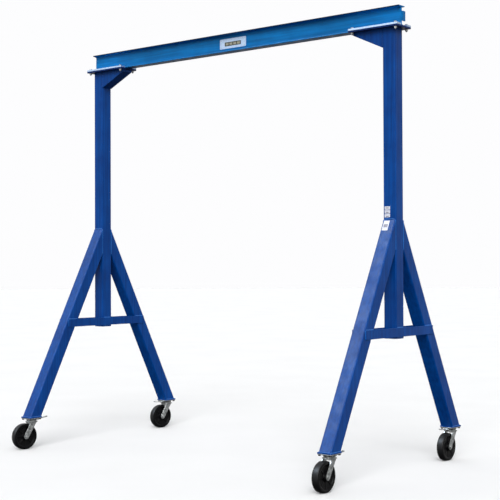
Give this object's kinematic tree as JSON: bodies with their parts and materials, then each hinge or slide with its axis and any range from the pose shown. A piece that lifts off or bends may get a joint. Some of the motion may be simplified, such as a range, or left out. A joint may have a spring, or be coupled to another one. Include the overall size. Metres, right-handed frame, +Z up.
{
  "type": "gantry crane",
  "caption": "Fixed-height steel gantry crane: a rolled beam bolted across two A-shaped tube end frames that stand on swivel casters with lock levers.",
  "frame": {"origin": "floor level, in the middle of the footprint's bounding rectangle", "axes": "+X along the beam to the right, +Y to the rear, +Z up"},
  "size_m": [3.036, 1.7739, 3.2],
  "materials": {
    "frame_paint": "semi-gloss blue enamel",
    "zinc_steel": "zinc-plated steel",
    "wheel_black": "black moulded phenolic"
  },
  "bodies": {
    "frame": {"beam": "frame_paint", "left_beam_stop": "frame_paint", "left_saddle_plate": "frame_paint", "left_keeper_bars": "zinc_steel", "left_post": "frame_paint", "left_gusset": "frame_paint", "left_inner_brace": "frame_paint", "left_outer_brace": "frame_paint", "left_front_leg": "frame_paint", "left_front_foot_plate": "frame_paint", "left_front_caster_plate": "zinc_steel", "left_rear_leg": "frame_paint", "left_rear_foot_plate": "frame_paint", "left_rear_caster_plate": "zinc_steel", "right_beam_stop": "frame_paint", "right_saddle_plate": "frame_paint", "right_keeper_bars": "zinc_steel", "right_post": "frame_paint", "right_gusset": "frame_paint", "right_inner_brace": "frame_paint", "right_outer_brace": "frame_paint", "right_front_leg": "frame_paint", "right_front_foot_plate": "frame_paint", "right_front_caster_plate": "zinc_steel", "right_rear_leg": "frame_paint", "right_rear_foot_plate": "frame_paint", "right_rear_caster_plate": "zinc_steel"},
    "left_front_swivel_body": {"left_front_fork": "zinc_steel", "left_front_axle": "zinc_steel"},
    "left_front_wheel_body": {"left_front_wheel": "wheel_black"},
    "left_front_lever_body": {"left_front_lock_lever": "zinc_steel"},
    "left_rear_swivel_body": {"left_rear_fork": "zinc_steel", "left_rear_axle": "zinc_steel"},
    "left_rear_wheel_body": {"left_rear_wheel": "wheel_black"},
    "left_rear_lever_body": {"left_rear_lock_lever": "zinc_steel"},
    "right_front_swivel_body": {"right_front_fork": "zinc_steel", "right_front_axle": "zinc_steel"},
    "right_front_wheel_body": {"right_front_wheel": "wheel_black"},
    "right_front_lever_body": {"right_front_lock_lever": "zinc_steel"},
    "right_rear_swivel_body": {"right_rear_fork": "zinc_steel", "right_rear_axle": "zinc_steel"},
    "right_rear_wheel_body": {"right_rear_wheel": "wheel_black"},
    "right_rear_lever_body": {"right_rear_lock_lever": "zinc_steel"}
  },
  "joints": [
    {"name": "left_front_swivel", "type": "hinge", "parent": "frame", "child": "left_front_swivel_body", "pos_m": [-1.425, -0.7215, 0.22], "axis": [0, 0, 1], "continuous": true},
    {"name": "left_front_roll", "type": "hinge", "parent": "left_front_swivel_body", "child": "left_front_wheel_body", "pos_m": [-1.43629, -0.78551, 0.1], "axis": [0.9848, -0.1736, 0], "continuous": true},
    {"name": "left_front_lock", "type": "hinge", "parent": "frame", "child": "left_front_lever_body", "pos_m": [-1.425, -0.6635, 0.225], "axis": [1, 0, 0], "range_deg": [0, 12]},
    {"name": "left_rear_swivel", "type": "hinge", "parent": "frame", "child": "left_rear_swivel_body", "pos_m": [-1.425, 0.8265, 0.22], "axis": [0, 0, 1], "continuous": true},
    {"name": "left_rear_roll", "type": "hinge", "parent": "left_rear_swivel_body", "child": "left_rear_wheel_body", "pos_m": [-1.43629, 0.76249, 0.1], "axis": [0.9848, -0.1736, 0], "continuous": true},
    {"name": "left_rear_lock", "type": "hinge", "parent": "frame", "child": "left_rear_lever_body", "pos_m": [-1.425, 0.7685, 0.225], "axis": [-1, 0, 0], "range_deg": [0, 12]},
    {"name": "right_front_swivel", "type": "hinge", "parent": "frame", "child": "right_front_swivel_body", "pos_m": [1.425, -0.7215, 0.22], "axis": [0, 0, 1], "continuous": true},
    {"name": "right_front_roll", "type": "hinge", "parent": "right_front_swivel_body", "child": "right_front_wheel_body", "pos_m": [1.425, -0.7865, 0.1], "axis": [1, 0, 0], "continuous": true},
    {"name": "right_front_lock", "type": "hinge", "parent": "frame", "child": "right_front_lever_body", "pos_m": [1.425, -0.6635, 0.225], "axis": [1, 0, 0], "range_deg": [0, 12]},
    {"name": "right_rear_swivel", "type": "hinge", "parent": "frame", "child": "right_rear_swivel_body", "pos_m": [1.425, 0.8265, 0.22], "axis": [0, 0, 1], "continuous": true},
    {"name": "right_rear_roll", "type": "hinge", "parent": "right_rear_swivel_body", "child": "right_rear_wheel_body", "pos_m": [1.425, 0.7615, 0.1], "axis": [1, 0, 0], "continuous": true},
    {"name": "right_rear_lock", "type": "hinge", "parent": "frame", "child": "right_rear_lever_body", "pos_m": [1.425, 0.7685, 0.225], "axis": [-1, 0, 0], "range_deg": [0, 12]}
  ]
}
